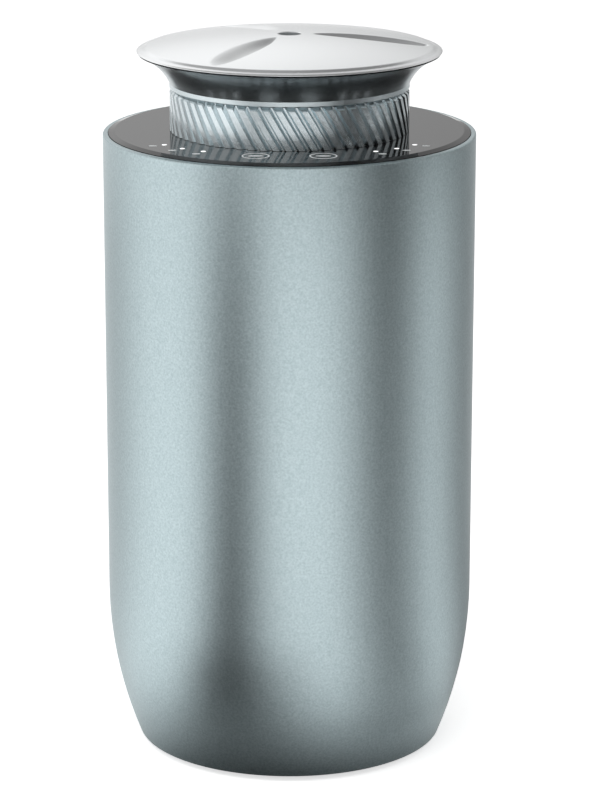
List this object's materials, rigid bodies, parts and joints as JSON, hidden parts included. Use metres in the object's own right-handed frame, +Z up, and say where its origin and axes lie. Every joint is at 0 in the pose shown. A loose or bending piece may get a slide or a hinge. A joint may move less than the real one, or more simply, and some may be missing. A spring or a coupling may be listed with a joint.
{
  "type": "table-top scent diffuser",
  "caption": "Free-standing cylindrical scent diffuser with a black touch panel, a ribbed collar that frees a flared lift-out head, and a glass bottle screwed into its atomiser.",
  "frame": {"origin": "centre of the footprint, on the surface that it stands on", "axes": "+Z up along the body's axis; the touch keys face -Y and the power inlet +Y"},
  "size_m": [0.11, 0.11, 0.216],
  "materials": {
    "satin_body": "bead-blasted and clear anodised, satin",
    "black_panel": "polished black",
    "collar_metal": "machined, satin",
    "trim_metal": "turned, bright",
    "dark_flare": "turned and dark anodised",
    "silver_cap": "satin silver",
    "black_plastic": "moulded black",
    "rubber": "matt black",
    "grey_plastic": "moulded grey",
    "white_plastic": "moulded white",
    "silicone": "milky silicone",
    "screw_steel": "zinc plated",
    "motor_steel": "drawn steel",
    "brass": "turned",
    "circuit_board": "green solder mask",
    "led_white": "white package",
    "clear_plastic": "clear acrylic",
    "conductive_foam": "dark foam",
    "tape": "black foam tape",
    "wire": "insulated",
    "felt": "wool felt",
    "amber_glass": "amber glass"
  },
  "bodies": {
    "housing": {"body_shell": "satin_body", "control_panel": "black_panel", "base_cover": "black_plastic", "dc_jack": "black_plastic", "collar_retainer": "black_plastic", "foot_ring": "rubber", "pump_mount": "rubber", "pump_diaphragm": "rubber", "air_bush": "rubber", "chassis": "grey_plastic", "bottle_well": "grey_plastic", "top_frame": "grey_plastic", "pump_body": "grey_plastic", "pump_valve_plate": "grey_plastic", "pump_cover": "grey_plastic", "slip_washer": "white_plastic", "air_hose": "silicone", "base_screws": "screw_steel", "frame_screws": "screw_steel", "retainer_screws": "screw_steel", "pump_screws": "screw_steel", "pump_motor": "motor_steel", "control_board": "circuit_board", "touch_board": "circuit_board", "leds": "led_white", "led_light_pipes": "clear_plastic", "touch_pads": "conductive_foam", "panel_tape": "tape", "motor_leads": "wire", "ribbon_cable": "wire", "intake_filter": "felt"},
    "collar": {"grip_collar": "collar_metal", "lock_ring": "grey_plastic"},
    "head": {"head_carrier": "white_plastic", "head_o_ring": "rubber", "atomiser_body": "white_plastic", "atomiser_screws": "screw_steel", "atomiser_nozzle": "brass", "dip_tube": "white_plastic", "chimney": "black_plastic", "trim_ring": "trim_metal", "cap_skirt": "dark_flare", "cap_disc": "silver_cap", "cap_screws": "screw_steel"},
    "bottle_seal": {"bottle_seal": "rubber"},
    "bottle": {"bottle": "amber_glass"},
    "pump_rotor": {"pump_rotor": "motor_steel"}
  },
  "joints": [
    {"name": "collar_twist", "type": "hinge", "parent": "housing", "child": "collar", "pos_m": [0, 0, 0.194], "axis": [0, 0, 1], "range_deg": [0, 40]},
    {"name": "head_lift", "type": "slide", "parent": "housing", "child": "head", "axis": [0, 0, 1], "range_m": [0, 0.11]},
    {"name": "bottle_drop", "type": "slide", "parent": "head", "child": "bottle_seal", "axis": [0, 0, -1], "range_m": [0, 0.01]},
    {"name": "bottle_turn", "type": "hinge", "parent": "bottle_seal", "child": "bottle", "pos_m": [0, 0, 0.17], "axis": [0, 0, -1], "range_deg": [0, 901]},
    {"name": "pump_spin", "type": "hinge", "parent": "housing", "child": "pump_rotor", "pos_m": [0, 0, 0.04], "axis": [0, 0, 1], "continuous": true}
  ],
  "couplings": [
    {"joint": "bottle_turn", "follows": "bottle_drop", "rad_per_m": 1570.8}
  ]
}
